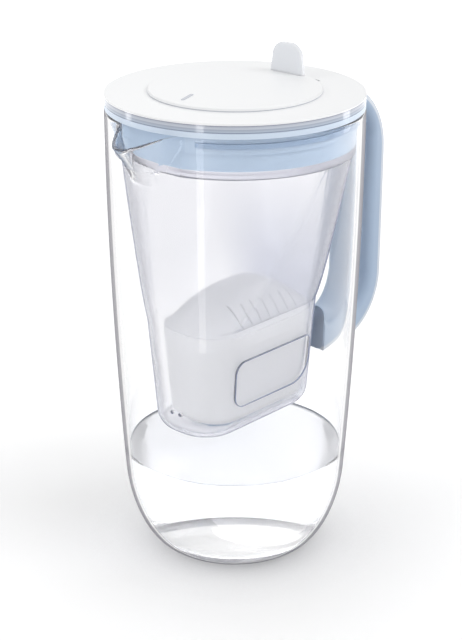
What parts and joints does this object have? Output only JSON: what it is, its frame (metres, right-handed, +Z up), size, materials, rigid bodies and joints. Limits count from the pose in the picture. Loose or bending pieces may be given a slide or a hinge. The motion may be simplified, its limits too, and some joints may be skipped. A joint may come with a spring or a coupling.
{
  "type": "water filter pitcher",
  "caption": "Glass water filter pitcher with a C handle, lift-out funnel, filter cartridge, lid and hinged fill flap.",
  "frame": {"origin": "centre of the jug's flat base, where it rests", "axes": "+Z up the jug's axis, handle towards +X, spout towards -X"},
  "size_m": [0.204, 0.14, 0.2827],
  "materials": {
    "glass": "polished clear glass",
    "blue_plastic": "satin moulded",
    "pale_blue_plastic": "satin moulded",
    "bonding_pad": "soft bonded pad",
    "silicone": "soft translucent silicone",
    "clear_plastic": "clear, glossy",
    "white_plastic": "white, fine satin gloss",
    "frosted_plastic": "translucent, milky",
    "steel": "drawn pin",
    "cartridge_white": "white, matte moulded",
    "mesh": "fine woven mesh",
    "granules": "dark loose granules",
    "fleece": "felted fleece"
  },
  "bodies": {
    "jug": {"glass_jug": "glass", "handle_frame": "blue_plastic", "handle_cover": "pale_blue_plastic", "handle_upper_pad": "bonding_pad", "handle_lower_pad": "bonding_pad"},
    "hopper": {"hopper_bowl": "clear_plastic", "hopper_collar": "blue_plastic", "collar_gasket": "silicone"},
    "lid": {"lid_disc": "white_plastic", "lid_ring": "frosted_plastic", "lid_skirt": "white_plastic", "lid_gasket": "silicone", "flap_hinge_pins": "steel"},
    "flap": {"flap_disc": "white_plastic", "flap_tab": "frosted_plastic"},
    "cartridge": {"cartridge_housing": "cartridge_white", "cartridge_cap": "cartridge_white", "cartridge_cap_screen": "mesh", "cartridge_granules": "granules", "cartridge_fleece": "fleece", "cartridge_base_grille": "cartridge_white", "cartridge_seal": "silicone"}
  },
  "joints": [
    {"name": "hopper_lift", "type": "slide", "parent": "jug", "child": "hopper", "axis": [0, 0, 1], "range_m": [0, 0.185]},
    {"name": "lid_lift", "type": "slide", "parent": "hopper", "child": "lid", "axis": [0, 0, 1], "range_m": [0, 0.1]},
    {"name": "flap_hinge", "type": "hinge", "parent": "lid", "child": "flap", "pos_m": [0.043, 0, 0.2623], "axis": [0, 1, 0], "range_deg": [0, 55]},
    {"name": "cartridge_lift", "type": "slide", "parent": "hopper", "child": "cartridge", "axis": [0, 0, 1], "range_m": [0, 0.08]}
  ]
}
